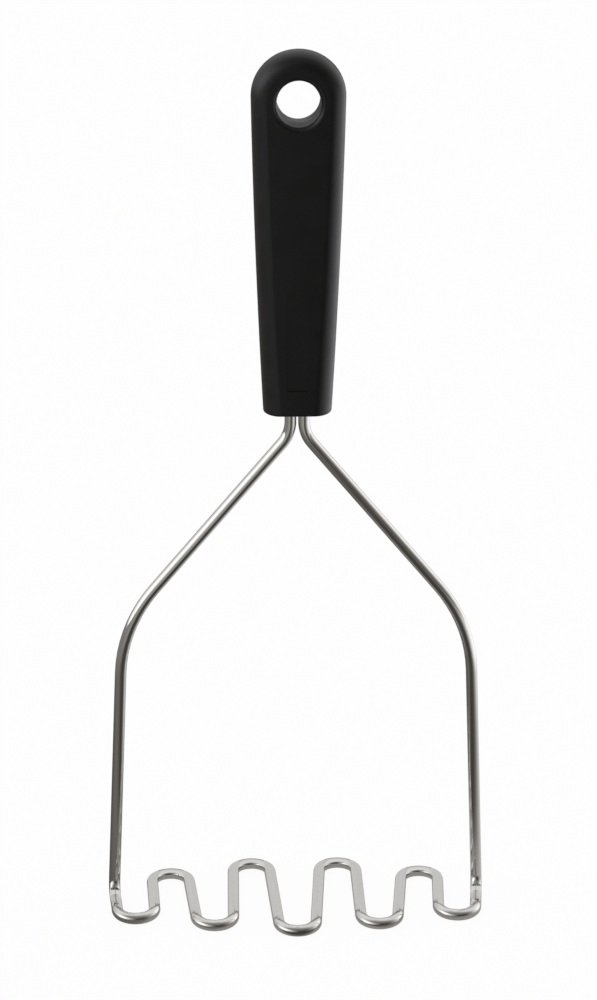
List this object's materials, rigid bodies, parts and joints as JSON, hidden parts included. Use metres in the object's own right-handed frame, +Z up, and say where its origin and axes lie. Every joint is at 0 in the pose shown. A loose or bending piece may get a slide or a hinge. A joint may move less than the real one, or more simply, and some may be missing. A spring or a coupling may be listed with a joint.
{
  "type": "potato masher",
  "caption": "Hand potato masher: bent steel wire with a flat serpentine mashing base and splayed legs, held in a tapered black plastic handle with a round hanging hole.",
  "frame": {"origin": "middle of the mashing base's outline, on the level sole that the base rests on", "axes": "+Z up along the handle, +X across the base, -Y towards the front, where the handle's bare panel is"},
  "size_m": [0.1152, 0.0462, 0.2713],
  "materials": {
    "steel_wire": "polished round wire, finely brushed on the pressed flats",
    "black_plastic": "satin black moulding"
  },
  "bodies": {
    "root": {"masher_wire": "steel_wire", "handle": "black_plastic"}
  },
  "joints": []
}
